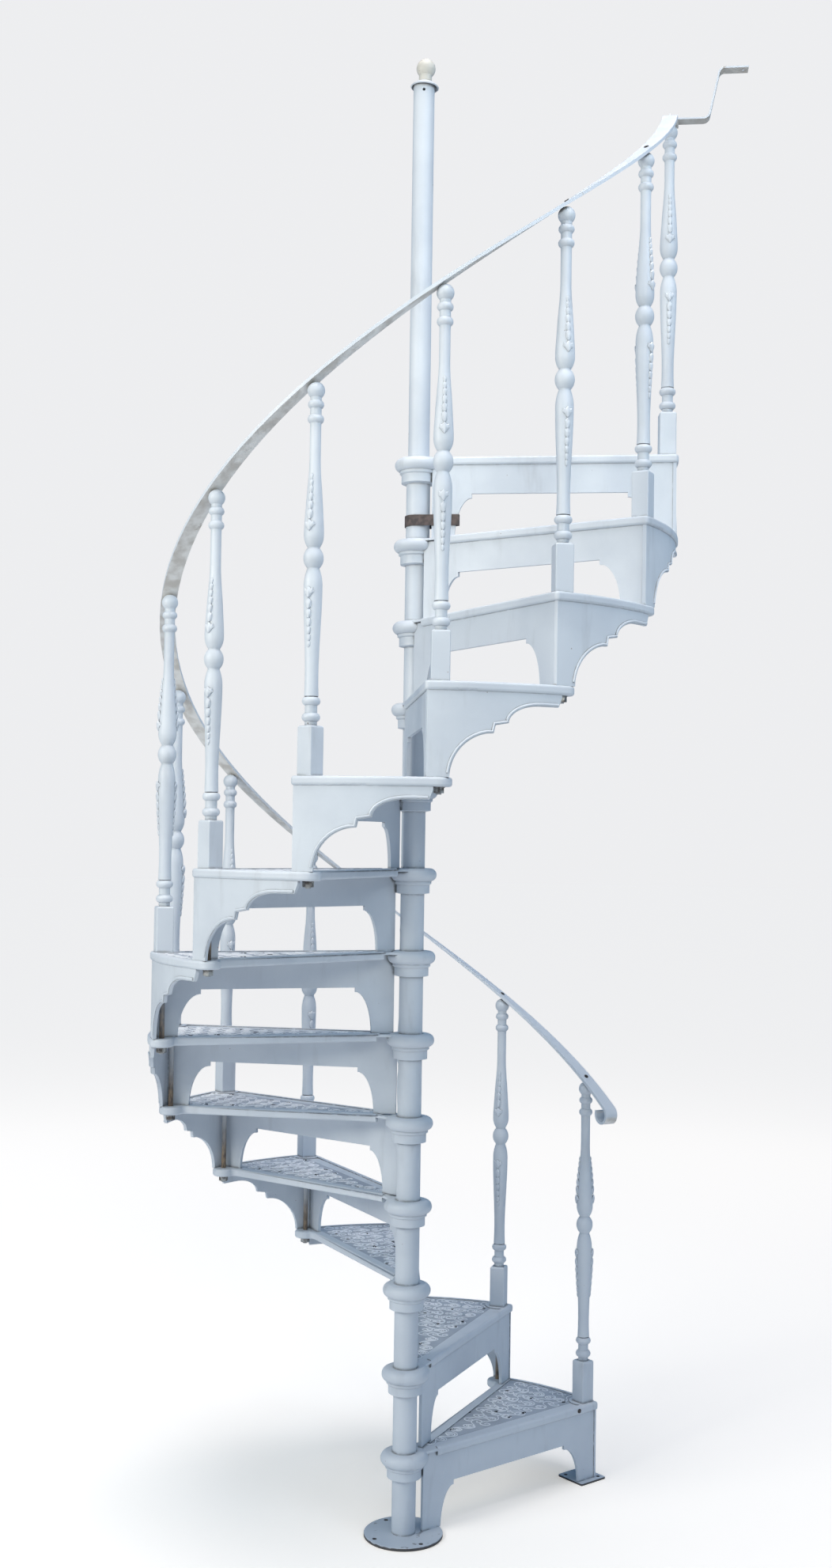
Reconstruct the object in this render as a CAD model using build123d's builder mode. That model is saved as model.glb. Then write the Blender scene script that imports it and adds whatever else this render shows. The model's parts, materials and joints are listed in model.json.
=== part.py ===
from build123d import *
import os
from math import atan, cos, degrees, radians, sin, sqrt, tan

# Cast spiral staircase, free standing on its base flange and one foot plate.
# Frame: +Z up, origin on the pole's axis at floor level. The stair climbs
# counterclockwise, seen from above. Each step is one casting: hub with collar,
# capital and sleeve, wedge tread, arched riser under the nosing, and a curved
# bracket under the outer rim. The sleeves stack on the pole, and a tie rod
# under each baluster bolts each step to the rear lug of the step below.

# ---- the stair as a whole ----
step_count = 13
rise = 200.0  # from one tread's top to the next
first_angle = 39.2  # the first baluster's direction, from +X
step_angle = 26.2  # turn from one step to the next
bolt_radius = 602.0  # circle of the balusters and tie rods

# ---- pole and feet ----
pole_radius = 26.0
pole_wall = 4.0
pole_above_steps = 930.0  # the pole's top, above the last tread
pole_clearance = 0.4
pole_hole_radius = 3.5
pole_hole_drop = 20.0  # below the pole's top
flange_radius = 95.0
flange_thickness = 8.0
flange_chamfer = 1.0
flange_hole_radius = 5.5
flange_hole_circle = 80.0
flange_hole_count = 4
flange_hole_turn = 32.0
foot_side = 88.0
foot_corner = 4.0
foot_thickness = 5.0
foot_hole_radius = 5.0
foot_hole_circle = 42.0
foot_hole_count = 2
foot_hole_turn = 135.0

# ---- hub of a step casting, z from the tread's top ----
sleeve_wall = 2.6
collar_reach = 29.0  # past the sleeve
collar_depth = 31.0
collar_lip_reach = 14.5  # where the collar's flat top ends
ring_reach = 17.0
ring_depth = 9.0
ring_slope = 3.0  # height of the slope from the ring down to the drum
drum_reach = 12.5
drum_depth = 20.0
drum_slope = 3.0  # from the drum down to the sleeve
hub_disc_reach = 21.0  # the plate's end inside the collar

# ---- tread plate ----
lug_radius = 28.0  # round boss about each tie rod; the rim follows its outside
rim_depth = 20.0
rim_width = 14.0
rim_round = 6.0
plate_thickness = 8.0
panel_sink = 2.5
panel_gap = 26.0  # from the collar to the panel
nosing_reach = 34.0  # front edge, ahead of the baluster's radial line
trail_reach = 8.0  # rear edge, ahead of the next baluster's radial line
panel_rear = 33.0  # panel's rear edge, ahead of the next baluster's radial line
front_blend = 40.0
rear_blend = 70.0
lug_blend = 14.0
front_corner_round = 10.0
post_pad_radius = 36.0

# ---- riser, z from the tread's top ----
riser_front = 28.0  # front face, ahead of the baluster's radial line
riser_thickness = 8.0
riser_gap = 8.0  # from the sleeve's radius to the riser's inner edge
inner_foot = 64.0  # the inner leg's width at its foot, from the sleeve
inner_leg = 105.0  # and under the soffit
outer_foot = 40.0  # the outer leg's width at its foot, in from the bolt circle
outer_leg = 93.0  # and under the soffit
soffit_depth = 90.0
soffit_step = 11.0

# ---- bracket under the outer rim, lengths along the rim from the baluster ----
bracket_inset = 5.0  # from the rim's outside
bracket_thickness = 8.0
bracket_foot = 20.0
bracket_arch_end = 113.0
bracket_arch_depth = 107.0
bracket_step_end = 117.0
bracket_step_depth = 90.0
bracket_flat_end = 146.0
bracket_flat_depth = 85.0
bracket_cove_end = 219.0
bracket_cove_depth = 47.0
bracket_end = 264.0
bracket_tip = 272.0

# ---- tie rods and their nuts ----
rod_radius = 6.0
rod_clearance = 0.5
rod_into_baluster = 40.0
nut_width = 21.0  # across flats
nut_sides = 6
nut_height = 11.0
washer_radius = 13.0
washer_thickness = 2.0
rod_end = 3.0  # past the nut
thread_clearance = 0.1

# ---- baluster, z from the tread's top ----
block_width = 40.0  # of the square foot block
block_height = 106.0
block_edge = 2.5  # rounding of its upright edges
block_round = 5.0  # rounding of its top
# how far each baluster is turned about its own axis, in degrees
baluster_turns = (0.0, 7.0, 0.0, 0.0, -18.0, 11.0, 2.0, 3.0, -18.0, -3.0, -21.0, 5.0, 6.0)
neck_radius = 13.0
bead_low = 123.5
bead_high = 157.5
bead_radius = 19.5
bead_half = 9.0
# radius and height of points along the two vases, from the foot up
lower_vase = ((15.3, 168.0), (14.2, 205.0), (16.4, 290.0), (18.9, 350.0), (19.8, 396.0))
lower_shoulder = (18.2, 419.0)
lower_vase_end = 437.0
middle_ball = 459.5
middle_ball_radius = 21.5
middle_ball_half = 21.0
upper_vase_start = 482.0
upper_shoulder = (18.6, 493.0)
upper_vase = ((21.2, 511.0), (19.7, 545.0), (16.8, 590.0), (13.6, 630.0), (11.8, 672.0))
upper_vase_end = 738.0
flare_height = 755.0
flare_radius = 17.5
flare_half = 9.0
top_neck_radius = 12.0
top_ring_height = 786.0
top_ring_radius = 17.3
top_ring_half = 8.5
ball_height = 816.0
ball_radius = 18.75
last_baluster_cut = 24.0  # taken off the last baluster's upper neck

# ---- handrail ----
rail_width = 36.0
rail_thickness = 7.0
rail_seat_gap = 0.3
rail_lower_reach = 92.0  # past the first baluster, before the scroll
scroll_radius = 21.5
scroll_turn = 255.0
rail_pad_length = 22.0  # level end, past the last baluster's centre
rail_bend = 12.0  # radius of the bend into the level end

# ---- gooseneck strip on the rail's upper end ----
strip_width = 32.0
strip_thickness = 4.0
strip_inner = 20.0  # behind the last baluster's centre
strip_low_run = 92.0
strip_rise = 122.0
strip_lean = 26.0
strip_high_run = 68.0
strip_bend = 16.0
strip_hole_radius = 3.0
strip_hole_inset = 12.0

# ---- strap round the column and the last riser's leg ----
strap_height = 26.0
strap_thickness = 3.0
strap_drop = 154.0  # its middle, below the last tread's top
strap_clearance = 0.3

# ---- cap and ball on the pole ----
cap_radius = 35.0
cap_height = 16.0
cap_wall = 3.0
finial_tilt = 3.0
finial_neck_radius = 16.0
finial_ball_radius = 23.5
finial_ball_rise = 31.0  # the ball's centre, above the cap's crown

# ---- worked out from the above ----
pole_top = step_count * rise + pole_above_steps
hub_bore = pole_radius + pole_clearance
sleeve_radius = hub_bore + sleeve_wall
collar_radius = sleeve_radius + collar_reach
collar_lip = sleeve_radius + collar_lip_reach
ring_radius = sleeve_radius + ring_reach
drum_radius = sleeve_radius + drum_reach
hub_disc_radius = sleeve_radius + hub_disc_reach
panel_inner_radius = collar_radius + panel_gap
tread_radius = bolt_radius + lug_radius
bracket_radius = tread_radius - bracket_inset
rod_hole_radius = rod_radius + rod_clearance
riser_inner = sleeve_radius + riser_gap
foot_inner_edge = sleeve_radius + inner_foot
soffit_start = sleeve_radius + inner_leg
soffit_end = bolt_radius - outer_leg
foot_outer_edge = bolt_radius - outer_foot
riser_back = riser_front - riser_thickness
rail_slope = atan(rise / (radians(step_angle) * bolt_radius))
rail_pitch = rise * 360 / step_angle
last_angle = first_angle + (step_count - 1) * step_angle

os.makedirs("parts", exist_ok=True)


def save(piece, name):
    """Labels a finished piece and writes it as its own STEP file."""
    piece.label = name
    export_step(piece, f"parts/{name}.step")


def step_place(number):
    """Where a step's own frame stands: x runs out to its baluster, z=0 is its tread's top."""
    turn = first_angle + (number - 1) * step_angle
    return Location((0, 0, number * rise), (0, 0, turn))


def polar(radius, angle):
    """A point in the plane, by radius and angle in degrees."""
    return (radius * cos(radians(angle)), radius * sin(radians(angle)))


def next_frame(x, y):
    """A point of the next step's frame, in this step's frame."""
    turn = radians(step_angle)
    return (x * cos(turn) - y * sin(turn), x * sin(turn) + y * cos(turn))


def along(radius, offset):
    """The x at which a line offset from the axis meets a circle round the axis."""
    return sqrt(radius**2 - offset**2)


# ---- base flange, foot plate and pole ----
with BuildPart() as base_flange:
    with BuildSketch():
        Circle(flange_radius)
        with PolarLocations(flange_hole_circle, flange_hole_count, flange_hole_turn):
            Circle(flange_hole_radius, mode=Mode.SUBTRACT)
    extrude(amount=flange_thickness)
    chamfer(base_flange.edges().filter_by(GeomType.CIRCLE).sort_by(SortBy.RADIUS)[-2:], flange_chamfer)
save(base_flange.part, "base_flange")

foot_plane = Plane(origin=(0, 0, 0), x_dir=(*polar(1, first_angle), 0))
with BuildPart() as foot_plate:
    with BuildSketch(foot_plane):
        with Locations((bolt_radius, 0)):
            RectangleRounded(foot_side, foot_side, foot_corner)
            with PolarLocations(foot_hole_circle, foot_hole_count, foot_hole_turn):
                Circle(foot_hole_radius, mode=Mode.SUBTRACT)
    extrude(amount=foot_thickness)
save(foot_plate.part, "foot_plate")

with BuildPart() as newel_pole:
    with BuildSketch(Plane.XY.offset(flange_thickness)):
        Circle(pole_radius)
        Circle(pole_radius - pole_wall, mode=Mode.SUBTRACT)
    extrude(amount=pole_top - flange_thickness)
    with BuildSketch(Plane.XZ):
        with Locations((0, pole_top - pole_hole_drop)):
            Circle(pole_hole_radius)
    extrude(amount=2 * pole_radius, mode=Mode.SUBTRACT)
save(newel_pole.part, "newel_pole")


# ---- one step casting, in its own frame ----
nose_outer = (along(tread_radius, nosing_reach), -nosing_reach)
nose_inner = (along(hub_disc_radius, nosing_reach), -nosing_reach)
lug_center = next_frame(bolt_radius, 0)
lug_outer = next_frame(tread_radius, 0)
lug_rear = next_frame(bolt_radius, lug_radius)
trail_outer = next_frame(bolt_radius - along(lug_radius, trail_reach), -trail_reach)
trail_inner = next_frame(along(hub_disc_radius, trail_reach), -trail_reach)


def panel_outline(front, rear, inner, outer):
    """A wedge inside the tread: its front and rear edges run parallel to the two radial lines."""
    with BuildLine() as wedge:
        Line((along(inner, front), -front), (along(outer, front), -front))
        ThreePointArc(
            (along(outer, front), -front),
            polar(outer, step_angle / 2),
            next_frame(along(outer, rear), -rear),
        )
        Line(next_frame(along(outer, rear), -rear), next_frame(along(inner, rear), -rear))
        ThreePointArc(
            next_frame(along(inner, rear), -rear),
            polar(inner, step_angle / 2),
            (along(inner, front), -front),
        )
    make_face(wedge.edges())


def rim_point(length, depth):
    """A point of the bracket's outline, in the plane that faces the middle of the rim."""
    angle = degrees(length / bracket_radius) - step_angle / 2
    return (bracket_radius * sin(radians(angle)), -depth)


def bracket_outline():
    """The bracket's stepped and coved lower edge, closed inside the rim."""
    foot = rim_point(bracket_foot, rise)
    arch_end = rim_point(bracket_arch_end, bracket_arch_depth)
    cove_start = rim_point(bracket_flat_end, bracket_flat_depth)
    cove_end = rim_point(bracket_cove_end, bracket_cove_depth)
    hidden = rim_depth / 2
    with BuildLine() as edge:
        Polyline(rim_point(bracket_tip, hidden), rim_point(-riser_front, hidden))
        Polyline(rim_point(-riser_front, hidden), rim_point(-riser_front, rise), foot)
        EllipticalCenterArc(
            (arch_end[0], foot[1]),
            arch_end[0] - foot[0],
            arch_end[1] - foot[1],
            start_angle=90,
            arc_size=90,
        )
        Polyline(
            arch_end,
            rim_point(bracket_step_end, bracket_step_depth),
            cove_start,
        )
        EllipticalCenterArc(
            (cove_end[0], cove_start[1]),
            cove_end[0] - cove_start[0],
            cove_end[1] - cove_start[1],
            start_angle=90,
            arc_size=90,
        )
        Polyline(
            cove_end,
            rim_point(bracket_end, bracket_cove_depth),
            rim_point(bracket_tip, rim_depth + rim_round),
            rim_point(bracket_tip, hidden),
        )
    make_face(edge.edges())


bracket_plane = Plane(
    origin=(0, 0, 0),
    x_dir=(*polar(1, step_angle / 2 + 90), 0),
    z_dir=(*polar(1, step_angle / 2), 0),
)

with BuildPart() as bracket:
    with BuildSketch(Plane.XY.offset(-rise)):
        Circle(bracket_radius)
        Circle(bracket_radius - bracket_thickness, mode=Mode.SUBTRACT)
    extrude(amount=rise - rim_depth / 2)
    with BuildSketch(bracket_plane):
        bracket_outline()
    extrude(amount=tread_radius, mode=Mode.INTERSECT)

with BuildPart() as riser:
    riser_plane = Plane.XZ.offset(riser_back)
    with BuildSketch(riser_plane):
        with BuildLine():
            Polyline(
                (foot_inner_edge, -rise),
                (riser_inner, -rise),
                (riser_inner, -rim_depth / 2),
                (bracket_radius - bracket_thickness / 2, -rim_depth / 2),
                (bracket_radius - bracket_thickness / 2, -rise),
                (foot_outer_edge, -rise),
            )
            EllipticalCenterArc(
                (soffit_end, -rise),
                foot_outer_edge - soffit_end,
                rise - soffit_depth - soffit_step,
                start_angle=0,
                arc_size=90,
            )
            Polyline(
                (soffit_end, -soffit_depth - soffit_step),
                (soffit_end, -soffit_depth),
                (soffit_start, -soffit_depth),
                (soffit_start, -soffit_depth - soffit_step),
            )
            EllipticalCenterArc(
                (soffit_start, -rise),
                soffit_start - foot_inner_edge,
                rise - soffit_depth - soffit_step,
                start_angle=90,
                arc_size=90,
            )
        make_face()
    extrude(amount=riser_thickness)

with BuildPart() as step_casting:
    with BuildSketch(Plane.XY.offset(-rim_depth)) as tread_outline:
        with BuildLine():
            Line(nose_inner, nose_outer)
            ThreePointArc(nose_outer, polar(tread_radius, step_angle / 2), lug_outer)
            ThreePointArc(lug_outer, lug_rear, trail_outer)
            Line(trail_outer, trail_inner)
            ThreePointArc(trail_inner, (-hub_disc_radius, 0), nose_inner)
        make_face()
        for corner, radius in (
            (nose_outer, front_corner_round),
            (nose_inner, front_blend),
            (trail_inner, rear_blend),
            (trail_outer, lug_blend),
        ):
            fillet(tread_outline.vertices().sort_by_distance(corner)[0], radius)
    extrude(amount=rim_depth)
    rim_edges = step_casting.edges().group_by(Axis.Z)
    fillet(rim_edges[0] + rim_edges[-1], rim_round)
    # the hollow underneath, inside the rim and clear of the two bolt bosses
    with BuildSketch(Plane.XY.offset(-rim_depth)):
        panel_outline(riser_back, trail_reach + rim_width, panel_inner_radius, tread_radius - rim_width)
        with Locations((bolt_radius, 0), lug_center):
            Circle(lug_radius, mode=Mode.SUBTRACT)
    extrude(amount=rim_depth - plate_thickness, mode=Mode.SUBTRACT)
    # the sunk panel on top, inside a plain border
    with BuildSketch():
        panel_outline(riser_back, panel_rear, panel_inner_radius, tread_radius - rim_width)
        with Locations((bolt_radius, 0)):
            Circle(post_pad_radius, mode=Mode.SUBTRACT)
    extrude(amount=-panel_sink, mode=Mode.SUBTRACT)
    # the hub
    with BuildSketch(Plane.XZ) as hub_profile:
        with BuildLine():
            ring_top = -collar_depth
            drum_top = ring_top - ring_depth
            sleeve_top = drum_top - drum_depth
            Polyline((0, -rise), (0, 0), (collar_lip, 0))
            ThreePointArc((collar_lip, 0), (collar_radius, ring_top / 2), (ring_radius, ring_top))
            Polyline(
                (ring_radius, ring_top),
                (ring_radius, drum_top + ring_slope),
                (drum_radius, drum_top),
                (drum_radius, sleeve_top),
                (sleeve_radius, sleeve_top - drum_slope),
                (sleeve_radius, -rise),
                (0, -rise),
            )
        make_face()
    revolve(axis=Axis.Z)
    add(riser.part)
    add(bracket.part)
    # the pole's bore and the two rod holes
    with BuildSketch(Plane.XY.offset(-rise)):
        Circle(hub_bore)
    extrude(amount=rise, mode=Mode.SUBTRACT)
    for hole_center in ((bolt_radius, 0), lug_center):
        with BuildSketch(Plane.XY.offset(-rim_depth)):
            with Locations(hole_center):
                Circle(rod_hole_radius)
        extrude(amount=rim_depth, mode=Mode.SUBTRACT)

for number in range(1, step_count + 1):
    with BuildPart() as step:
        with Locations(step_place(number)):
            add(step_casting.part)
        if number == 1:
            # the lowest casting is cut off level with the flange and the foot plate
            with BuildSketch():
                Circle(bolt_radius / 2)
            extrude(amount=flange_thickness, mode=Mode.SUBTRACT)
            with BuildSketch():
                Circle(tread_radius)
                Circle(bolt_radius / 2, mode=Mode.SUBTRACT)
            extrude(amount=foot_thickness, mode=Mode.SUBTRACT)
    save(step.part, f"step_{number:02d}")


# ---- tie rods and their nuts ----
nut_foot = -rise - rim_depth - washer_thickness - nut_height

with BuildPart() as tie_rods:
    for number in range(1, step_count + 1):
        low = nut_foot - rod_end if number > 1 else foot_thickness - rise
        with BuildSketch(Plane(step_place(number)).offset(low)):
            with Locations((bolt_radius, 0)):
                Circle(rod_radius)
        extrude(amount=rod_into_baluster - low)
save(tie_rods.part, "tie_rods")

with BuildPart() as rod_nuts:
    for number in range(2, step_count + 1):
        nut_plane = Plane(step_place(number)).offset(nut_foot)
        with BuildSketch(nut_plane):
            with Locations((bolt_radius, 0)):
                RegularPolygon(nut_width / 2, nut_sides, major_radius=False)
                Circle(rod_radius + thread_clearance, mode=Mode.SUBTRACT)
        extrude(amount=nut_height)
        with BuildSketch(nut_plane.offset(nut_height)):
            with Locations((bolt_radius, 0)):
                Circle(washer_radius)
                Circle(rod_radius + thread_clearance, mode=Mode.SUBTRACT)
        extrude(amount=washer_thickness)
save(rod_nuts.part, "rod_nuts")


# ---- balusters, each standing on its tread ----
def turned_bead(middle, half, neck, swell):
    """A round bead of the turning, as one arc between its two necks."""
    ThreePointArc((neck, middle - half), (swell, middle), (neck, middle + half))


def turned_baluster(cut):
    """One baluster on its own axis, with this much taken off its upper neck."""
    vase_end = upper_vase_end - cut
    flare = flare_height - cut
    top_ring = top_ring_height - cut
    ball = ball_height - cut
    waist_radius = upper_vase[-1][0]
    neck_below_ball = ball - along(ball_radius, top_neck_radius)
    with BuildPart() as baluster:
        with BuildSketch():
            RectangleRounded(block_width, block_width, block_edge)
        extrude(amount=block_height)
        fillet(baluster.faces().sort_by(Axis.Z)[-1].edges(), block_round)
        with BuildSketch(Plane.XZ):
            with BuildLine() as profile:
                Polyline(
                    (0, block_height / 2),
                    (neck_radius, block_height / 2),
                    (neck_radius, bead_low - bead_half),
                )
                turned_bead(bead_low, bead_half, neck_radius, bead_radius)
                Line((neck_radius, bead_low + bead_half), (neck_radius, bead_high - bead_half))
                turned_bead(bead_high, bead_half, neck_radius, bead_radius)
                Line((neck_radius, bead_high + bead_half), lower_vase[0])
                Spline(*lower_vase, tangents=[(-1, 20), (0, 1)])
                ThreePointArc(lower_vase[-1], lower_shoulder, (neck_radius, lower_vase_end))
                Line((neck_radius, lower_vase_end), (neck_radius, middle_ball - middle_ball_half))
                turned_bead(middle_ball, middle_ball_half, neck_radius, middle_ball_radius)
                Line((neck_radius, middle_ball + middle_ball_half), (neck_radius, upper_vase_start))
                ThreePointArc((neck_radius, upper_vase_start), upper_shoulder, upper_vase[0])
                Spline(*upper_vase, tangents=[(0, 1), (0, 1)])
                Line(upper_vase[-1], (waist_radius, vase_end))
                Line((waist_radius, vase_end), (top_neck_radius, flare - flare_half))
                turned_bead(flare, flare_half, top_neck_radius, flare_radius)
                Line((top_neck_radius, flare + flare_half), (top_neck_radius, top_ring - top_ring_half))
                turned_bead(top_ring, top_ring_half, top_neck_radius, top_ring_radius)
                Line((top_neck_radius, top_ring + top_ring_half), (top_neck_radius, neck_below_ball))
                ThreePointArc(
                    (top_neck_radius, neck_below_ball),
                    (ball_radius, ball),
                    (0, ball + ball_radius),
                )
                Line((0, ball + ball_radius), (0, block_height / 2))
            make_face(profile.edges())
        revolve(axis=Axis.Z)
        with BuildSketch():
            Circle(rod_hole_radius)
        extrude(amount=rod_into_baluster + rod_clearance, mode=Mode.SUBTRACT)
    return baluster.part


full_baluster = turned_baluster(0)
last_baluster = turned_baluster(last_baluster_cut)

for number, turn in enumerate(baluster_turns, start=1):
    with BuildPart() as placed_baluster:
        with Locations(step_place(number) * Location((bolt_radius, 0, 0), (0, 0, turn))):
            add(last_baluster if number == step_count else full_baluster)
    save(placed_baluster.part, f"baluster_{number:02d}")


# ---- handrail: a flat bar wound over the balls, scrolled under at its foot ----
# Its frame: the x axis points to the start of the winding, at the start's height.
rail_over_ball = ball_radius + rail_seat_gap + rail_thickness / 2
rail_start_angle = first_angle - degrees(rail_lower_reach / bolt_radius)
rail_start_z = rise + ball_height + rail_over_ball / cos(rail_slope) - rail_lower_reach * tan(rail_slope)
# the bar bends level where that brings it down onto the last ball's top
level_z = step_count * rise + ball_height - last_baluster_cut + rail_over_ball
winding_drop = (
    rail_over_ball * (1 / cos(rail_slope) - 1) + last_baluster_cut + rail_bend * (1 - cos(rail_slope))
)
winding_short = winding_drop / tan(rail_slope)
rail_turn = last_angle - degrees(winding_short / bolt_radius) - rail_start_angle
rail_climb = rail_turn * rise / step_angle
level_run = winding_short - rail_bend * sin(rail_slope) + rail_pad_length


def under_axis(angle, height, depth):
    """A radial axis under the bar, square to its run, that the bar is bent round."""
    turn = radians(angle)
    outward = (cos(turn), sin(turn), 0)
    reach = depth * sin(rail_slope)
    return Axis(
        (
            bolt_radius * cos(turn) - reach * sin(turn),
            bolt_radius * sin(turn) + reach * cos(turn),
            height - depth * cos(rail_slope),
        ),
        outward,
    )


with BuildPart() as wound_bar:
    with BuildLine() as winding:
        Helix(rail_pitch, rail_climb, bolt_radius)
    with BuildSketch(Plane(origin=winding.line @ 0, x_dir=(1, 0, 0), z_dir=winding.line % 0)):
        Rectangle(rail_width, rail_thickness)
    sweep(path=winding.line, is_frenet=True)
    lower_face = wound_bar.faces().sort_by_distance(winding.line @ 0)[0]
    upper_face = wound_bar.faces().sort_by_distance(winding.line @ 1)[0]
    revolve(lower_face, axis=under_axis(0, 0, scroll_radius), revolution_arc=scroll_turn)
    revolve(
        upper_face,
        axis=under_axis(rail_turn, rail_climb, rail_bend).reverse(),
        revolution_arc=degrees(rail_slope),
    )
    bent_end = wound_bar.faces().filter_by(GeomType.PLANE).sort_by(Axis.Z)[-1]
    extrude(bent_end, amount=level_run)

with BuildPart() as handrail:
    with Locations(Location((0, 0, rail_start_z), (0, 0, rail_start_angle))):
        add(wound_bar.part)
save(handrail.part, "handrail")


# ---- gooseneck strip, level on the rail's end, up and out to the landing's rail ----
rail_end_top = level_z + rail_thickness / 2
gooseneck_plane = Plane(
    origin=(0, 0, rail_end_top + strip_thickness / 2),
    x_dir=(*polar(1, last_angle), 0),
    z_dir=(*polar(1, last_angle - 90), 0),
)
low_end = bolt_radius - strip_inner
low_bend = low_end + strip_low_run + strip_inner
high_bend = low_bend + strip_lean
high_end = high_bend + strip_high_run
with BuildPart() as gooseneck:
    with BuildSketch(gooseneck_plane):
        with BuildLine():
            FilletPolyline(
                (low_end, 0),
                (low_bend, 0),
                (high_bend, strip_rise),
                (high_end, strip_rise),
                radius=strip_bend,
            )
        trace(line_width=strip_thickness)
    extrude(amount=strip_width / 2, both=True)
    strip_hole_radial = high_end - strip_hole_inset
    with BuildSketch(Plane.XY.offset(rail_end_top + strip_rise)):
        with Locations(polar(strip_hole_radial, last_angle)):
            Circle(strip_hole_radius)
    extrude(amount=strip_thickness, mode=Mode.SUBTRACT)
save(gooseneck.part, "gooseneck")


# ---- strap round the last step's sleeve and its riser's inner leg ----
def leg_edge(drop):
    """The riser's inner leg ends here, at a depth below the tread's top."""
    share = (rise - drop) / (rise - soffit_depth - soffit_step)
    return soffit_start - (soffit_start - foot_inner_edge) * sqrt(1 - share**2)


leg_end = leg_edge(strap_drop - strap_height / 2) + strap_clearance
with BuildPart() as column_strap:
    with BuildSketch(Plane(step_place(step_count)).offset(-strap_drop - strap_height / 2)) as strap_band:
        Circle(sleeve_radius + strap_clearance)
        with Locations((leg_end / 2, -riser_back - riser_thickness / 2)):
            Rectangle(leg_end, riser_thickness + 2 * strap_clearance)
        held = make_hull(mode=Mode.REPLACE)
        offset(amount=strap_thickness)
        add(held, mode=Mode.SUBTRACT)
    extrude(amount=strap_height)
save(column_strap.part, "column_strap")


# ---- domed cap and ball on the pole ----
# The cap is part of a sphere that rests inside on the pole's top edge.
cap_sphere = (cap_radius**2 + cap_height**2) / (2 * cap_height)
cap_inner = cap_sphere - cap_wall
cap_center = pole_top - sqrt(cap_inner**2 - pole_radius**2)
cap_edge_angle = degrees(atan(cap_radius / (cap_sphere - cap_height)))
finial_plane = Plane(Location((0, 0, cap_center), (0, finial_tilt, 0)))
profile_plane = Plane(
    origin=finial_plane.origin, x_dir=finial_plane.x_dir, z_dir=-finial_plane.y_dir
)


def on_cap(radius, angle):
    """A point of the cap's profile, by its angle from the crown."""
    return (radius * sin(radians(angle)), radius * cos(radians(angle)))


with BuildPart() as pole_cap:
    with BuildSketch(profile_plane):
        with BuildLine():
            ThreePointArc(
                (0, cap_sphere),
                on_cap(cap_sphere, cap_edge_angle / 2),
                on_cap(cap_sphere, cap_edge_angle),
            )
            Line(on_cap(cap_sphere, cap_edge_angle), on_cap(cap_inner, cap_edge_angle))
            ThreePointArc(
                on_cap(cap_inner, cap_edge_angle),
                on_cap(cap_inner, cap_edge_angle / 2),
                (0, cap_inner),
            )
            Line((0, cap_inner), (0, cap_sphere))
        make_face()
    revolve(axis=Axis(finial_plane.origin, finial_plane.z_dir))
save(pole_cap.part, "pole_cap")

with BuildPart() as finial_ball:
    with BuildSketch(profile_plane):
        seat = sqrt(cap_sphere**2 - finial_neck_radius**2)
        ball_middle = cap_sphere + finial_ball_rise
        ball_foot = ball_middle - sqrt(finial_ball_radius**2 - finial_neck_radius**2)
        with BuildLine():
            ThreePointArc(
                (0, cap_sphere),
                on_cap(cap_sphere, degrees(finial_neck_radius / cap_sphere) / 2),
                (finial_neck_radius, seat),
            )
            Line((finial_neck_radius, seat), (finial_neck_radius, ball_foot))
            ThreePointArc(
                (finial_neck_radius, ball_foot),
                (finial_ball_radius, ball_middle),
                (0, ball_middle + finial_ball_radius),
            )
            Line((0, ball_middle + finial_ball_radius), (0, cap_sphere))
        make_face()
    revolve(axis=Axis(finial_plane.origin, finial_plane.z_dir))
save(finial_ball.part, "finial_ball")
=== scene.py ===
"""Looks of a cast spiral stair: finishes, cast ornament, small fixings, studio and camera.

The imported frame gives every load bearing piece. This script dresses those pieces in
procedural finishes and adds the ornament that the castings carry: the scrolled relief on
each tread, the leaf garlands on the balusters, the beads along the brackets, the screws on
the handrail and the bolt that holds the strip at its upper end.
"""

import json
import logging
import math
from collections.abc import Iterable, Iterator
from contextlib import contextmanager
from dataclasses import dataclass, field
from enum import Enum

import bpy
from mathutils import Euler, Matrix, Vector

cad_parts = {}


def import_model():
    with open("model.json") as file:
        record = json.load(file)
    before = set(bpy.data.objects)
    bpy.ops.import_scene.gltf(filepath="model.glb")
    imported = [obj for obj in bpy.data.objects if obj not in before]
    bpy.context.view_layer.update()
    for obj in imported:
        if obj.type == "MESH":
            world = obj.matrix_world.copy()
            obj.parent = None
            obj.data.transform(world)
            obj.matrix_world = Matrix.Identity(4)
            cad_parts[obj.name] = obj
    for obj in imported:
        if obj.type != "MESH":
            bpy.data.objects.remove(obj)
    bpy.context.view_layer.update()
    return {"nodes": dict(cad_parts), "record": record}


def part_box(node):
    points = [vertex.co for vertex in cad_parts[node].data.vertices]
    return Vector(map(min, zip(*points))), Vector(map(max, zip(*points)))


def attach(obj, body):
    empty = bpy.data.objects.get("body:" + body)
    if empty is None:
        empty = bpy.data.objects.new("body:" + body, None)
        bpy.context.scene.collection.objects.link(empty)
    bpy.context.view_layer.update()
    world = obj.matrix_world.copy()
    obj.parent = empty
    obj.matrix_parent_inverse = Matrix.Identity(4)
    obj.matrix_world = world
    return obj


logging.basicConfig(level=logging.INFO, format="%(message)s")
LOG = logging.getLogger("stair")

Colour = tuple[float, float, float, float]
Triple = tuple[float, float, float]

UP = Vector((0, 0, 1))
DOUBLES_APART = 0.00002


# ---- work on meshes ----


def deselect_all() -> None:
    """Leaves nothing selected."""
    bpy.ops.object.select_all(action="DESELECT")


def pick(*pieces: bpy.types.Object) -> None:
    """Selects pieces and nothing else, with the first one active.

    Args:
        *pieces: The objects to select, at least one.
    """
    deselect_all()
    for piece in pieces:
        piece.select_set(True)
    bpy.context.view_layer.objects.active = pieces[0]


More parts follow.
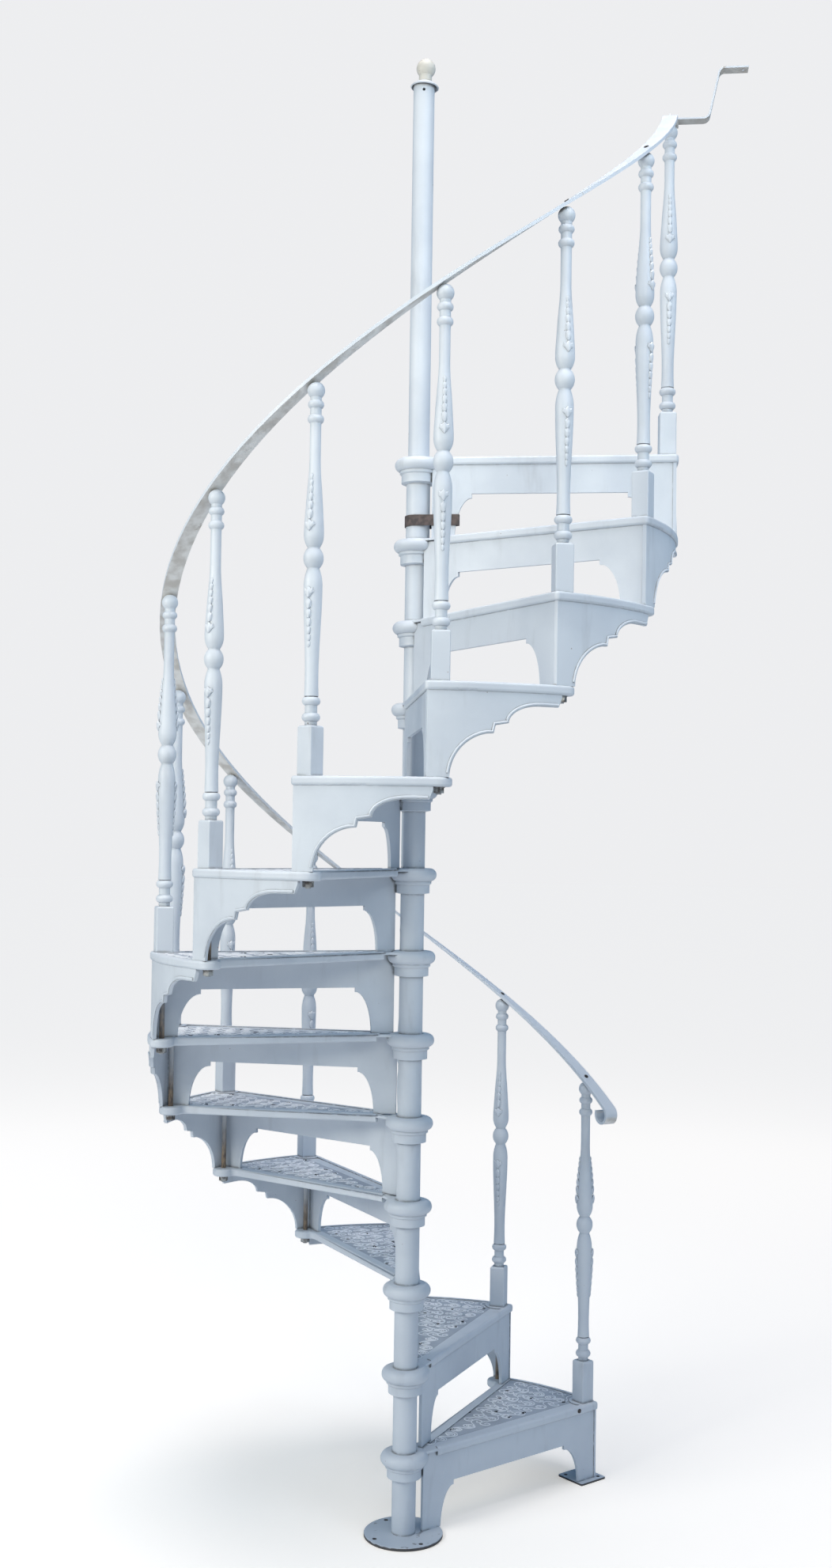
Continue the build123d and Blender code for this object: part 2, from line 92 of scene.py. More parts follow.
@contextmanager
def editing(piece: bpy.types.Object, whole: bool = True) -> Iterator[None]:
    """Holds edit mode on one piece, and comes back to object mode at the end.

    Args:
        piece: The object to edit.
        whole: Whether its whole mesh is selected first.

    Yields:
        Nothing, while edit mode lasts.
    """
    pick(piece)
    bpy.ops.object.mode_set(mode="EDIT")
    if whole:
        bpy.ops.mesh.select_all(action="SELECT")
    yield
    bpy.ops.object.mode_set(mode="OBJECT")


def extrude(move: Vector | Triple) -> None:
    """Extrudes what is selected in edit mode, by a move in metres."""
    bpy.ops.mesh.extrude_region_move(TRANSFORM_OT_translate={"value": move})


def settle(piece: bpy.types.Object) -> None:
    """Moves a piece's place, turn and size into its mesh."""
    pick(piece)
    bpy.ops.object.transform_apply(location=True, rotation=True, scale=True)


def join(pieces: list[bpy.types.Object], name: str) -> bpy.types.Object:
    """Joins meshes into one settled object.

    Args:
        pieces: The objects to join, at least two.
        name: The name of the joined object.

    Returns:
        The joined object.
    """
    pick(*pieces)
    bpy.ops.object.join()
    joined = pieces[0]
    joined.name = name
    joined.data.name = name
    settle(joined)
    return joined


def copy_to(pattern: bpy.types.Object, name: str, place: Matrix) -> bpy.types.Object:
    """Copies a pattern piece, with a mesh of its own, to a place.

    Args:
        pattern: The settled piece to copy.
        name: The copy's name.
        place: The matrix from the pattern's frame to the stair's.

    Returns:
        The copy, with its place in its mesh.
    """
    copy = pattern.copy()
    copy.data = pattern.data.copy()
    copy.name = name
    copy.data.name = name
    bpy.context.scene.collection.objects.link(copy)
    copy.data.transform(place)
    return copy


def smooth(piece: bpy.types.Object, angle: float) -> None:
    """Shades a piece smooth, with each edge sharper than an angle in degrees kept."""
    pick(piece)
    bpy.ops.object.shade_smooth_by_angle(angle=math.radians(angle))


def round_edges(piece: bpy.types.Object, width: float) -> None:
    """Rounds a piece's sharp edges.

    Args:
        piece: The object to round.
        width: How far the rounding reaches from an edge.
    """
    pick(piece)
    soften = piece.modifiers.new("worn_edge", "BEVEL")
    soften.width = width
    soften.segments = 2
    bpy.ops.object.modifier_apply(modifier=soften.name)


def face_outwards(piece: bpy.types.Object) -> None:
    """Merges a piece's doubles, closes its ends and turns all its faces outwards.

    Args:
        piece: The object to mend.
    """
    with editing(piece):
        bpy.ops.mesh.remove_doubles(threshold=DOUBLES_APART)
        bpy.ops.mesh.fill_holes(sides=12)
        bpy.ops.mesh.normals_make_consistent(inside=False)


def surface_hit(node: bpy.types.Object, start: Vector, heading: Vector) -> tuple[Vector, Vector]:
    """Finds where a line first meets a piece.

    Args:
        node: The piece to meet.
        start: Where the line starts, in the stair's frame.
        heading: The line's direction.

    Returns:
        The spot, and the piece's outward direction there.

    Raises:
        RuntimeError: If the line misses the piece.
    """
    inverse = node.matrix_world.inverted()
    found, spot, normal, _ = node.ray_cast(inverse @ start, inverse.to_3x3() @ heading)
    if not found:
        raise RuntimeError(f"no surface of {node.name} on this line")
    return node.matrix_world @ spot, (node.matrix_world.to_3x3() @ normal).normalized()


def standing_on(spot: Vector, normal: Vector) -> Matrix:
    """A place on a surface, with its z axis along the surface's outward direction."""
    return Matrix.Translation(spot) @ normal.to_track_quat("Z", "Y").to_matrix().to_4x4()


def turned(angle: float, axis: str = "Z") -> Matrix:
    """A turn about an axis of the frame, by an angle in degrees."""
    return Matrix.Rotation(math.radians(angle), 4, axis)


# ---- finishes ----


@dataclass(frozen=True)
class Mottle:
    """Patches of a noise pattern.

    The pattern has scale features a metre and detail finer octaves. The patches rise from 0
    at low to 1 at high, and run stretch times longer along the height.
    """

    scale: float
    detail: float
    low: float
    high: float
    stretch: float = 1.0


@dataclass(frozen=True)
class Ripple:
    """An uneven amount: a noise pattern, by its features a metre and its octaves, times the amount."""

    scale: float
    detail: float
    amount: float


@dataclass(frozen=True)
class Grain:
    """A fine surface unevenness: features a metre, octaves, depth in metres and strength."""

    scale: float
    detail: float
    depth: float
    strength: float


class ShaderSheet:
    """A material's node tree, with short ways to add and join nodes."""

    def __init__(self, name: str) -> None:
        """Starts an empty material with one shader.

        Args:
            name: The material's name.
        """
        self.material = bpy.data.materials.new(name)
        self.material.use_nodes = True
        self.tree = self.material.node_tree
        self.shader = self.tree.nodes["Principled BSDF"]
        self.place = self.tree.nodes.new("ShaderNodeTexCoord").outputs["Object"]

    def feed(self, socket: bpy.types.NodeSocket, value: object) -> None:
        """Joins an output to an input, or sets the input.

        Args:
            socket: The input.
            value: The output to join, or the plain value to set.
        """
        if isinstance(value, bpy.types.NodeSocket):
            self.tree.links.new(value, socket)
        else:
            socket.default_value = value

    def node(self, kind: str, **inputs: object) -> bpy.types.Node:
        """Adds a node and sets or joins its inputs.

        Args:
            kind: The node's type, without its Shader prefix.
            **inputs: A value, or an output to join, for each input. An input is given by its
                name, with an underscore for a space, or by its number after an underscore.

        Returns:
            The new node.
        """
        node = self.tree.nodes.new("ShaderNode" + kind)
        for key, value in inputs.items():
            number = key[1:]
            self.feed(node.inputs[int(number) if number.isdigit() else key.replace("_", " ")], value)
        return node

    def noise(self, scale: float, detail: float, stretch: float = 1.0) -> bpy.types.NodeSocket:
        """A noise pattern on the piece's own coordinates.

        Args:
            scale: Features per metre.
            detail: The number of finer octaves.
            stretch: How many times longer the pattern runs along the height.

        Returns:
            The pattern's value.
        """
        source = self.place
        if stretch != 1.0:
            mapping = self.node("Mapping", Vector=self.place, Scale=(1.0, 1.0, 1.0 / stretch))
            source = mapping.outputs["Vector"]
        return self.node("TexNoise", Vector=source, Scale=scale, Detail=detail).outputs["Fac"]

    def band(self, value: bpy.types.NodeSocket, low: float, high: float) -> bpy.types.NodeSocket:
        """A value's rise from 0 to 1 between two limits.

        Args:
            value: The value to map.
            low: Where the result is 0.
            high: Where the result is 1. It may be lower than low.

        Returns:
            The mapped and clamped value.
        """
        mapped = self.node("MapRange", Value=value, From_Min=low, From_Max=high)
        mapped.interpolation_type = "SMOOTHSTEP"
        return mapped.outputs["Result"]

    def math(self, operation: str, first: object, second: object) -> bpy.types.NodeSocket:
        """The result of a calculation on two values.

        Args:
            operation: The calculation's name, as Blender gives it.
            first: A number or a socket.
            second: A number or a socket.

        Returns:
            The result.
        """
        node = self.node("Math", _0=first, _1=second)
        node.operation = operation
        return node.outputs["Value"]

    def mottle(self, patches: Mottle) -> bpy.types.NodeSocket:
        """Where a pattern's patches lie, from 0 to 1."""
        pattern = self.noise(patches.scale, patches.detail, patches.stretch)
        return self.band(pattern, patches.low, patches.high)

    def ripple(self, ripple: Ripple) -> bpy.types.NodeSocket:
        """An uneven amount, from 0 to the ripple's own."""
        return self.math("MULTIPLY", self.noise(ripple.scale, ripple.detail), ripple.amount)

    def blend(self, share: object, under: object, over: object) -> bpy.types.NodeSocket:
        """A colour mixed from two.

        Args:
            share: How much of the second colour shows.
            under: The first colour, or a socket.
            over: The second colour, or a socket.

        Returns:
            The mixed colour.
        """
        node = self.tree.nodes.new("ShaderNodeMix")
        node.data_type = "RGBA"
        for number, value in ((0, share), (6, under), (7, over)):
            self.feed(node.inputs[number], value)
        return node.outputs[2]

    def crevice(self, reach: float) -> bpy.types.NodeSocket:
        """How open a spot is.

        Args:
            reach: How far away another surface still counts, in metres.

        Returns:
            1 in the open, towards 0 deep in a corner.
        """
        node = self.tree.nodes.new("ShaderNodeAmbientOcclusion")
        node.samples = 6
        node.inputs["Distance"].default_value = reach
        return node.outputs["AO"]

    def facing_up(self) -> bpy.types.NodeSocket:
        """The height part of the surface's normal."""
        normal = self.node("NewGeometry").outputs["Normal"]
        return self.node("SeparateXYZ", Vector=normal).outputs["Z"]

    def height(self) -> bpy.types.NodeSocket:
        """The spot's height in metres."""
        return self.node("SeparateXYZ", Vector=self.place).outputs["Z"]

    def bump(self, grain: Grain) -> None:
        """Gives the shader a fine surface unevenness.

        Args:
            grain: The unevenness.
        """
        pattern = self.noise(grain.scale, grain.detail)
        node = self.node("Bump", Height=pattern, Distance=grain.depth, Strength=grain.strength)
        self.feed(self.shader.inputs["Normal"], node.outputs["Normal"])

    def coat(self, colour: object, roughness: object) -> None:
        """Gives the shader its colour and its roughness, each a socket or a plain value."""
        self.feed(self.shader.inputs["Base Color"], colour)
        self.feed(self.shader.inputs["Roughness"], roughness)


@dataclass(frozen=True)
class CastPaint:
    """Old oil paint over cast iron, with small rusty chips, and dark corners that are partly dirt
    in the joints and partly painted shade.

    The dull colour lies in patches, and dark dirt in runs down the height. The corners, up to
    grime_and_shade_reach metres from a joint, darken with dirt and painted shade. Uneven and
    worn spots are rougher.
    """

    name: str
    clean: Colour
    dull: Colour
    grime_and_shade: Colour
    rust: Colour
    chips: Mottle = Mottle(95.0, 3.0, 0.765, 0.785)
    # how far and how strongly the corners darken: partly dirt in the joints, partly painted shade
    grime_and_shade_reach: float = 0.010
    grime_and_shade_share: float = 0.85
    corner: tuple[float, float] = (0.84, 0.46)
    breaks: Mottle = Mottle(60.0, 5.0, 0.22, 0.56)
    patches: Mottle = Mottle(5.0, 5.0, 0.38, 0.66)
    runs: Mottle = Mottle(26.0, 6.0, 0.56, 0.78, stretch=5.0)
    run_share: float = 0.16
    roughness: float = 0.36
    uneven: Ripple = Ripple(40.0, 3.0, 0.14)
    worn_roughness: float = 0.4
    grain: Grain = Grain(210.0, 3.0, 0.0006, 0.22)

    def make(self) -> bpy.types.Material:
        """Builds the paint.

        Returns:
            The material.
        """
        sheet = ShaderSheet(self.name)
        colour = sheet.blend(sheet.mottle(self.patches), self.clean, self.dull)
        runs = sheet.math("MULTIPLY", sheet.mottle(self.runs), self.run_share)
        colour = sheet.blend(runs, colour, self.grime_and_shade)
        # painted shade in corners and creases, mixed with dirt in the joints, broken into patches
        corner = sheet.band(sheet.crevice(self.grime_and_shade_reach), *self.corner)
        broken = sheet.math("MULTIPLY", sheet.mottle(self.breaks), self.grime_and_shade_share)
        grime_and_shade_mask = sheet.math("MULTIPLY", corner, broken)
        colour = sheet.blend(grime_and_shade_mask, colour, self.grime_and_shade)
        chipped = sheet.mottle(self.chips)
        colour = sheet.blend(chipped, colour, self.rust)
        worn = sheet.math("MULTIPLY", sheet.math("MAXIMUM", grime_and_shade_mask, chipped), self.worn_roughness)
        rough = sheet.math("ADD", sheet.ripple(self.uneven), self.roughness)
        sheet.coat(colour, sheet.math("ADD", rough, worn))
        sheet.bump(self.grain)
        return sheet.material


@dataclass(frozen=True)
class RailPaint:
    """Old paint on a flat bar, worn in spots, with painted warm light from below on the faces
    that look down.

    turned_down holds the height parts of the normal at which the painted light from below
    starts and is full.
    """

    name: str
    top: Colour
    under: Colour
    rust: Colour
    turned_down: tuple[float, float] = (0.05, -0.45)
    patches: Mottle = Mottle(30.0, 5.0, 0.35, 0.7)
    patch_share: float = 0.6
    worn: Mottle = Mottle(24.0, 6.0, 0.68, 0.74)
    worn_share: float = 0.7
    roughness: float = 0.38
    patch_roughness: float = 0.2
    grain: Grain = Grain(180.0, 3.0, 0.0005, 0.2)

    def make(self) -> bpy.types.Material:
        """Builds the paint.

        Returns:
            The material.
        """
        sheet = ShaderSheet(self.name)
        patchy = sheet.mottle(self.patches)
        # the under tone is painted warm light from below, with patches of real wear towards rust
        under = sheet.blend(sheet.math("MULTIPLY", patchy, self.patch_share), self.under, self.rust)
        below = sheet.band(sheet.facing_up(), *self.turned_down)
        colour = sheet.blend(below, self.top, under)
        worn = sheet.math("MULTIPLY", sheet.mottle(self.worn), self.worn_share)
        colour = sheet.blend(worn, colour, self.rust)
        rough = sheet.math("MULTIPLY", patchy, self.patch_roughness)
        sheet.coat(colour, sheet.math("ADD", rough, self.roughness))
        sheet.bump(self.grain)
        return sheet.material


@dataclass(frozen=True)
class FootPaint:
    """Thin white paint on the ground plates, worn to dark iron on their sides and in patches.

    low_down holds the ragged heights at which the bare side starts and is full, and upright
    the height parts of the normal at which a side starts and is full.
    """

    name: str
    paint: Colour
    iron: Colour
    ragged: Ripple = Ripple(55.0, 5.0, 0.010)
    low_down: tuple[float, float] = (0.0045, 0.0010)
    upright: tuple[float, float] = (0.9, 0.3)
    patches: Mottle = Mottle(38.0, 6.0, 0.64, 0.72)
    patch_share: float = 0.6
    roughness: float = 0.45
    bare_roughness: float = 0.25
    grain: Grain = Grain(150.0, 4.0, 0.0008, 0.35)

    def make(self) -> bpy.types.Material:
        """Builds the paint.

        Returns:
            The material.
        """
        sheet = ShaderSheet(self.name)
        level = sheet.math("SUBTRACT", sheet.height(), sheet.ripple(self.ragged))
        low = sheet.band(level, *self.low_down)
        side = sheet.band(sheet.facing_up(), *self.upright)
        patches = sheet.math("MULTIPLY", sheet.mottle(self.patches), self.patch_share)
        bare = sheet.math("MAXIMUM", sheet.math("MULTIPLY", low, side), patches)
        colour = sheet.blend(bare, self.paint, self.iron)
        rough = sheet.math("MULTIPLY", bare, self.bare_roughness)
        sheet.coat(colour, sheet.math("ADD", rough, self.roughness))
        sheet.bump(self.grain)
        return sheet.material


@dataclass(frozen=True)
class RodFinish:
    """Painted rods, rusted tan and brown above each tread they pass.

    fade holds the heights above a tread at which the rust ends and is full, as shares of
    the rise.
    """

    name: str
    paint: Colour
    tan: Colour
    brown: Colour
    rise: float
    fade: tuple[float, float] = (0.95, 0.35)
    uneven: Ripple = Ripple(14.0, 4.0, 0.12)
    flakes: Mottle = Mottle(160.0, 4.0, 0.35, 0.65, stretch=3.0)
    roughness: float = 0.62
    grain: Grain = Grain(320.0, 3.0, 0.0005, 0.5)

    def make(self) -> bpy.types.Material:
        """Builds the finish.

        Returns:
            The material.
        """
        sheet = ShaderSheet(self.name)
        above = sheet.math("MODULO", sheet.math("ADD", sheet.height(), self.rise), self.rise)
        uneven = sheet.math("ADD", above, sheet.ripple(self.uneven))
        rusty = sheet.band(uneven, self.rise * self.fade[0], self.rise * self.fade[1])
        rust = sheet.blend(sheet.mottle(self.flakes), self.brown, self.tan)
        sheet.coat(sheet.blend(rusty, self.paint, rust), self.roughness)
        sheet.bump(self.grain)
        return sheet.material


@dataclass(frozen=True)
class MottledFinish:
    """A mottled finish of two tones: nuts, screws, the strap, and the shadow in the piercings.

    Its light spots are smoother than its dark ones, by light_polish.
    """

    name: str
    light: Colour
    dark: Colour
    metallic: float
    roughness: float
    light_polish: float = 0.12
    mottling: Mottle = Mottle(90.0, 6.0, 0.34, 0.68)
    grain: Grain = Grain(270.0, 4.0, 0.0005, 0.45)

    def make(self) -> bpy.types.Material:
        """Builds the finish.

        Returns:
            The material.
        """
        sheet = ShaderSheet(self.name)
        mottled = sheet.mottle(self.mottling)
        polish = sheet.math("MULTIPLY", mottled, -self.light_polish)
        colour = sheet.blend(mottled, self.dark, self.light)
        sheet.coat(colour, sheet.math("ADD", polish, self.roughness))
        sheet.bump(self.grain)
        sheet.shader.inputs["Metallic"].default_value = self.metallic
        return sheet.material


class Finish(Enum):
    """The finishes of the frame's slots and of the added pieces."""

    # its dark corners are painted shade mixed with dirt in the joints
    WHITE = CastPaint(
        "old_white_paint",
        clean=(0.66, 0.705, 0.755, 1.0),
        dull=(0.59, 0.635, 0.69, 1.0),
        grime_and_shade=(0.13, 0.125, 0.12, 1.0),
        rust=(0.16, 0.10, 0.07, 1.0),
    )
    # the scroll ridges' paint, lighter than the stair's own: a painted highlight on the relief
    RIDGE_HIGHLIGHT = CastPaint(
        "ridge_paint_with_painted_highlight",
        clean=(0.86, 0.89, 0.93, 1.0),
        dull=(0.72, 0.76, 0.81, 1.0),
        grime_and_shade=(0.14, 0.14, 0.15, 1.0),
        rust=(0.15, 0.10, 0.08, 1.0),
        chips=Mottle(95.0, 3.0, 0.74, 0.76),
        grime_and_shade_reach=0.003,
        grime_and_shade_share=0.12,
    )
    # the husks' bluish dark corners, at full share, are painted shadow round and under each husk
    GARLAND = CastPaint(
        "garland_paint",
        clean=(0.69, 0.73, 0.78, 1.0),
        dull=(0.62, 0.66, 0.71, 1.0),
        grime_and_shade=(0.15, 0.17, 0.20, 1.0),
        rust=(0.16, 0.10, 0.07, 1.0),
        grime_and_shade_reach=0.005,
        grime_and_shade_share=1.0,
    )
    # a dark sheet on the panels' floor: painted shade in the hollows between the ridges
    SHADE_BED = CastPaint(
        "panel_painted_shade",
        clean=(0.45, 0.49, 0.55, 1.0),
        dull=(0.34, 0.375, 0.43, 1.0),
        grime_and_shade=(0.08, 0.085, 0.10, 1.0),
        rust=(0.13, 0.09, 0.07, 1.0),
        chips=Mottle(95.0, 3.0, 0.72, 0.74),
        grime_and_shade_reach=0.004,
        grime_and_shade_share=1.0,
    )
    CREAM = CastPaint(
        "cream_ball_paint",
        clean=(0.70, 0.68, 0.62, 1.0),
        dull=(0.60, 0.58, 0.52, 1.0),
        grime_and_shade=(0.20, 0.16, 0.11, 1.0),
        rust=(0.22, 0.15, 0.09, 1.0),
        chips=Mottle(95.0, 3.0, 0.70, 0.72),
    )
    # the under tone is painted warm light from below on the bar's underside
    RAIL = RailPaint(
        "old_rail_paint",
        top=(0.64, 0.685, 0.74, 1.0),
        under=(0.86, 0.84, 0.80, 1.0),
        rust=(0.42, 0.37, 0.31, 1.0),
    )
    # the under tone is painted warm light from below on the strip's underside
    STRIP = RailPaint(
        "old_strip_paint",
        top=(0.64, 0.685, 0.74, 1.0),
        under=(0.68, 0.65, 0.60, 1.0),
        rust=(0.38, 0.33, 0.28, 1.0),
    )
    FOOT = FootPaint(
        "worn_plate_paint",
        paint=(0.53, 0.585, 0.65, 1.0),
        iron=(0.09, 0.085, 0.085, 1.0),
    )
    ROD = RodFinish(
        "rod_finish",
        paint=(0.46, 0.47, 0.48, 1.0),
        tan=(0.26, 0.19, 0.125, 1.0),
        brown=(0.10, 0.075, 0.06, 1.0),
        rise=0.2,
    )
    NUT = MottledFinish(
        "nut_zinc",
        light=(0.55, 0.55, 0.53, 1.0),
        dark=(0.12, 0.10, 0.09, 1.0),
        metallic=0.85,
        roughness=0.5,
    )
    SCREW = MottledFinish(
        "screw_steel",
        light=(0.16, 0.14, 0.13, 1.0),
        dark=(0.05, 0.045, 0.04, 1.0),
        metallic=0.7,
        roughness=0.6,
    )
    STRAP = MottledFinish(
        "strap_rust",
        light=(0.135, 0.10, 0.09, 1.0),
        dark=(0.075, 0.062, 0.06, 1.0),
        metallic=0.2,
        roughness=0.7,
    )
    HOLE = MottledFinish(
        "piercing_shadow",
        light=(0.03, 0.03, 0.032, 1.0),
        dark=(0.012, 0.012, 0.013, 1.0),
        metallic=0.0,
        roughness=0.9,
    )

    def material(self) -> bpy.types.Material:
        """The finish's material, built at its first use."""
        return bpy.data.materials.get(self.value.name) or self.value.make()


SLOT_FINISH: dict[str, Finish] = {
    "white_paint": Finish.WHITE,
    "foot_paint": Finish.FOOT,
    "cream_paint": Finish.CREAM,
    "rail_paint": Finish.RAIL,
    "strip_paint": Finish.STRIP,
    "rod_steel": Finish.ROD,
    "nut_steel": Finish.NUT,
    "strap_steel": Finish.STRAP,
}


def dress(piece: bpy.types.Object, finish: Finish) -> None:
    """Gives an added piece its finish and its body.

    Args:
        piece: The finished piece.
        finish: Its finish.
    """
    piece.data.materials.clear()
    piece.data.materials.append(finish.material())
    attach(piece, "root")


def lay_out(pattern: bpy.types.Object, places: Iterable[Matrix], finish: Finish) -> None:
    """Lays a numbered copy of a cast pattern at each place, and removes the pattern.

    Args:
        pattern: The settled pattern, with the copies' name.
        places: The copies' places, from the first step on.
        finish: The copies' finish.
    """
    LOG.info("%s: %d faces each", pattern.name, len(pattern.data.polygons))
    for number, place in enumerate(places, start=1):
        dress(copy_to(pattern, f"{pattern.name}_{number:02d}", place), finish)
    bpy.data.objects.remove(pattern)


# ---- the stair's layout, from the frame ----


@dataclass(frozen=True)
class StairPlan:
    """Where each step stands, read from the balusters' boxes."""

    bolt_radius: float
    step_angle: float
    directions: tuple[float, ...]
    tread_heights: tuple[float, ...]

    @classmethod
    def from_frame(cls, record: dict) -> "StairPlan":
        """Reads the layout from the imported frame.

        Args:
            record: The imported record.

        Returns:
            The plan.
        """
        names = sorted(part["node"] for part in record["subparts"] if part["node"].startswith("baluster_"))
        boxes = [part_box(name) for name in names]
        middles = [(low + high) / 2 for low, high in boxes]
        radius = math.hypot(middles[-1].x, middles[-1].y)
        directions = tuple(math.atan2(middle.y, middle.x) for middle in middles)
        turn = (directions[1] - directions[0]) % math.tau
        return cls(radius, turn, directions, tuple(low.z for low, _ in boxes))

    def place(self, number: int) -> Matrix:
        """A step's own frame: x runs out to its baluster and z=0 is its tread's top.

        Args:
            number: The step's number, from 1.

        Returns:
            The matrix from the step's frame to the stair's.
        """
        direction = self.directions[number - 1]
        return Matrix.Translation((0, 0, self.tread_heights[number - 1])) @ Matrix.Rotation(direction, 4, "Z")

    def places(self) -> list[Matrix]:
        """Each step's own frame, from the first step on."""
        return [self.place(number) for number in range(1, self.count + 1)]

    def axis_of(self, number: int) -> Matrix:
        """A frame on the foot of a step's baluster, with x still outwards."""
        return self.place(number) @ Matrix.Translation((self.bolt_radius, 0, 0))

    def middle_line(self) -> Matrix:
        """The turn from a tread's middle line, along x, to the step's own frame."""
        return Matrix.Rotation(self.step_angle / 2, 4, "Z")

    @property
    def count(self) -> int:
        """The number of steps."""
        return len(self.directions)


# ---- ornament ----


@dataclass
class TreadRelief:
    """Scrolls and piercings cast in the sunk panel of a tread, and a sheet of painted shade under them.

    The scrolls stand in S-shaped pairs, in rows across the tread. Each row is as wide as
    the wedge allows, and what reaches past the panel lies inside the plain border. Scrolls
    and piercings are modelled with the tread's middle line along x.
    """

    plan: StairPlan
    floor: float = -0.0025
    front_border: float = 0.0176
    rear_border: float = 0.044

    # rows of scrolls, by distance from the pole's axis
    first_row: float = 0.106
    last_row: float = 0.574
    pitch: float = 0.0395

    # ridges, and the eyes between two scrolls, as shares of the pitch and of the curl
    ridge: float = 0.0020
    ridge_height: float = 0.0023
    profile_sides: int = 6
    eye_ahead: float = 0.45
    eye_length: float = 0.32
    eye_width: float = 0.22
    eye_sides: int = 12

    # a scroll: its slant and how far it varies, in degrees, its arcs' radii as shares of the
    # curl and their turns in degrees, the ridge's size at the start, its growth over the first
    # arc and over each of the others, and the whole scroll's stretch along its heading
    slant: float = 23.0
    uneven: float = 17.0
    curl: float = 0.0185
    arcs: tuple[tuple[float, float], ...] = ((1.0, 80.0), (0.66, 120.0), (0.40, 150.0), (0.22, 120.0))
    arc_steps: int = 5
    start_size: float = 0.8
    swell: Triple = (1.3, 1.3, 1.1)
    taper: Triple = (0.88, 0.88, 0.95)
    stretch: float = 1.15

    # the bed, a sheet of painted shade, runs on inside the plain border, and stands half a
    # thickness above the floor
    bed_start: float = 0.080
    bed_end: float = 0.612
    bed_thickness: float = 0.0006
    bed_margin: float = math.radians(1.0)
    bed_steps: int = 12

    # piercings: half sizes, the top's height as a share of the ridges', and each one's
    # distance from the pole's axis and offset from the tread's middle line
    piercing_size: Triple = (0.00675, 0.00425, 1.0)
    piercing_sides: int = 12
    piercing_top: float = 0.6
    piercing_spots: tuple[tuple[float, float], ...] = (
        (0.548, -0.102),
        (0.524, 0.062),
        (0.519, -0.020),
        (0.463, 0.044),
        (0.446, 0.079),
        (0.412, -0.068),
        (0.397, 0.064),
        (0.373, -0.008),
        (0.361, -0.058),
        (0.324, 0.043),
        (0.255, 0.035),
        (0.195, 0.002),
        (0.131, 0.009),
    )
    parts: list[bpy.types.Object] = field(default_factory=list)

    def edges_at(self, reach: float) -> tuple[float, float]:
        """The relief's front and rear limits, across the middle line.

        Args:
            reach: The distance out from the pole.

        Returns:
            The front and the rear offset from the tread's middle line.
        """
        half = self.plan.step_angle / 2
        front = -reach * math.tan(half) + self.front_border
        rear = reach * math.tan(half) - self.rear_border / math.cos(half)
        return front, rear

    def ring(self, centre: Vector, length: float, width: float) -> None:
        """Adds an oval ridge.

        Args:
            centre: Its centre on the panel.
            length: Half its length along the tread.
            width: Half its width across the tread.
        """
        deselect_all()
        bpy.ops.mesh.primitive_torus_add(
            location=centre,
            major_radius=1.0,
            minor_radius=self.ridge / length,
            major_segments=self.eye_sides,
            minor_segments=self.profile_sides,
        )
        oval = bpy.context.object
        oval.scale = (length, width, length * self.ridge_height / self.ridge)
        settle(oval)
        self.parts.append(oval)

    def scroll(self, start: Vector, heading: float, turn_sign: int) -> None:
        """Adds a scroll: a ridge spun round ever tighter centres.

        Args:
            start: Where the scroll leaves, on the panel.
            heading: Its direction there, in radians from the tread's middle line.
            turn_sign: 1 to curl to the left, -1 to the right.
        """
        deselect_all()
        bpy.ops.mesh.primitive_circle_add(
            vertices=self.profile_sides,
            radius=self.ridge,
            location=start,
            rotation=(math.pi / 2, 0, heading + math.pi / 2),
        )
        ridge = bpy.context.object
        with editing(ridge):
            bpy.ops.transform.resize(value=(self.start_size, self.start_size, self.start_size))
            point, direction, growth = start.copy(), heading, self.swell
            for share, angle in self.arcs:
                side = Vector((-math.sin(direction), math.cos(direction), 0)) * turn_sign
                centre = point + side * self.curl * share
                swing = math.radians(angle) * turn_sign
                # a positive angle of this operator turns clockwise
                bpy.ops.mesh.spin(steps=self.arc_steps, angle=-swing, center=centre, axis=UP)
                bpy.ops.transform.resize(value=growth)
                point = centre + Matrix.Rotation(swing, 3, "Z") @ (point - centre)
                direction += swing
                growth = self.taper
        # the profile's own z axis lies along the heading
        ridge.scale.z = self.stretch
        settle(ridge)
        self.parts.append(ridge)

    def row(self, reach: float, number: int) -> None:
        """Adds one row of scroll pairs and the small eyes between them.

        Args:
            reach: The row's distance out from the pole.
            number: The row's number; every other row turns the other way.
        """
        front, rear = self.edges_at(reach)
        cells = max(1, round((rear - front) / self.pitch))
        cell_width = (rear - front) / cells
        turn_sign = 1 if number % 2 else -1
        for cell in range(cells):
            offset = front + cell_width * (cell + 0.5)
            centre = Vector((reach, offset, self.floor))
            unevenly = self.uneven * ((cell + number) % 3 - 1)
            heading = math.radians(90.0 + self.slant * turn_sign + unevenly)
            for half_turn in (0.0, math.pi):
                self.scroll(centre, heading + half_turn, turn_sign)
            if cell:
                eye = Vector((reach + self.pitch * self.eye_ahead, offset - cell_width / 2, self.floor))
                self.ring(eye, self.curl * self.eye_length, self.curl * self.eye_width)

    def scrolls(self) -> bpy.types.Object:
        """Models one tread's scrolls in the step's frame.

        Returns:
            The joined relief.
        """
        rows = round((self.last_row - self.first_row) / self.pitch)
        for number in range(rows + 1):
            self.row(self.first_row + (self.last_row - self.first_row) * number / rows, number)
        relief = join(self.parts, "tread_relief")
        face_outwards(relief)
        smooth(relief, 60.0)
        relief.data.transform(self.plan.middle_line())
        return relief

